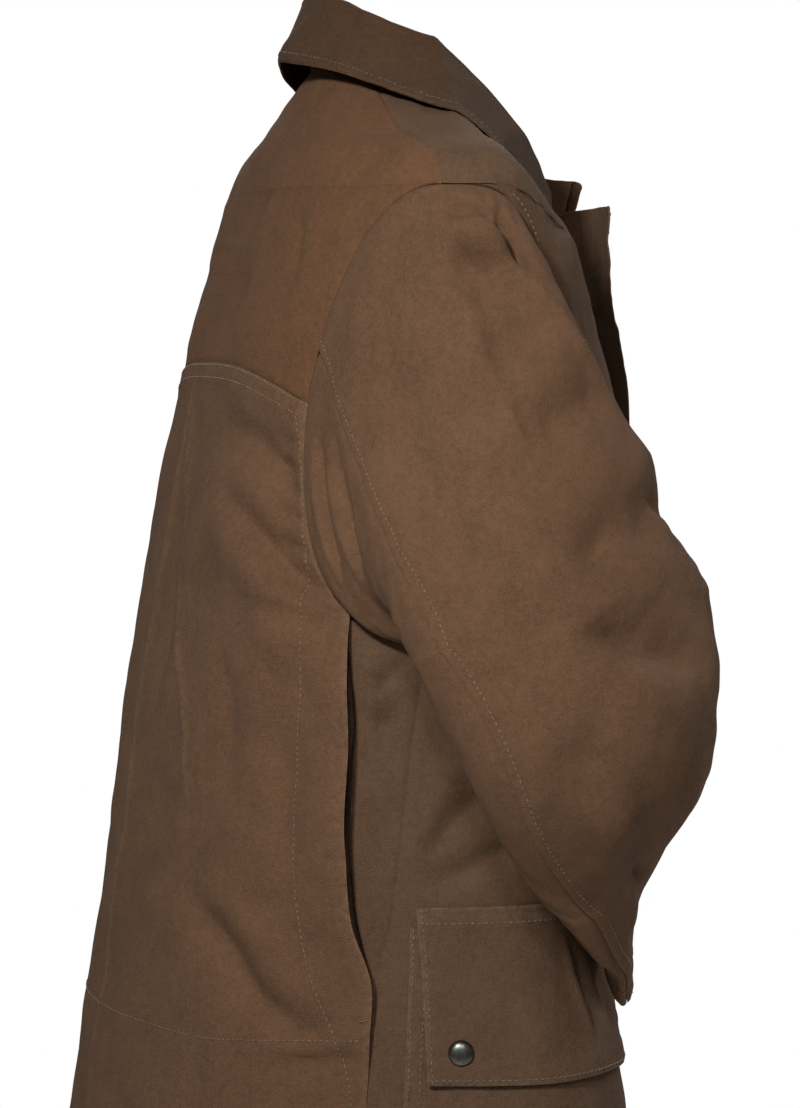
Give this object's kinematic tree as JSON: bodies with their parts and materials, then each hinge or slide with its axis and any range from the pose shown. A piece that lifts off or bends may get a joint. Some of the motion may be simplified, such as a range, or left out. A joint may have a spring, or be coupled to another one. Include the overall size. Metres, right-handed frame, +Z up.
{
  "type": "canvas jacket",
  "caption": "Unlined hip-length canvas field jacket in its worn form without a wearer, with turned-down collar, back yoke, open side pleats, bent sleeves and flapped bellows pockets.",
  "frame": {"origin": "between the shoulders at the height of the neck's side points, where the wearer holds the jacket up", "axes": "+Z up, the front faces -Y, the wearer's right is -X and the wearer's left is +X"},
  "size_m": [0.7048, 0.3589, 0.7999],
  "materials": {
    "canvas": "matt brown cotton canvas with a soft brushed face",
    "thread": "tan sewing thread",
    "snap": "gunmetal plated, satin"
  },
  "bodies": {
    "root": {"back_panel": "canvas", "back_yoke": "canvas", "gusset_right": "canvas", "gusset_left": "canvas", "front_right": "canvas", "front_left": "canvas", "sleeve_right_upper": "canvas", "sleeve_right_under": "canvas", "sleeve_left_upper": "canvas", "sleeve_left_under": "canvas", "collar": "canvas", "pocket_right": "canvas", "pocket_left": "canvas", "flap_right": "canvas", "flap_left": "canvas", "snap_right_back": "snap", "snap_right_front": "snap", "snap_left_back": "snap", "snap_left_front": "snap"}
  },
  "joints": []
}
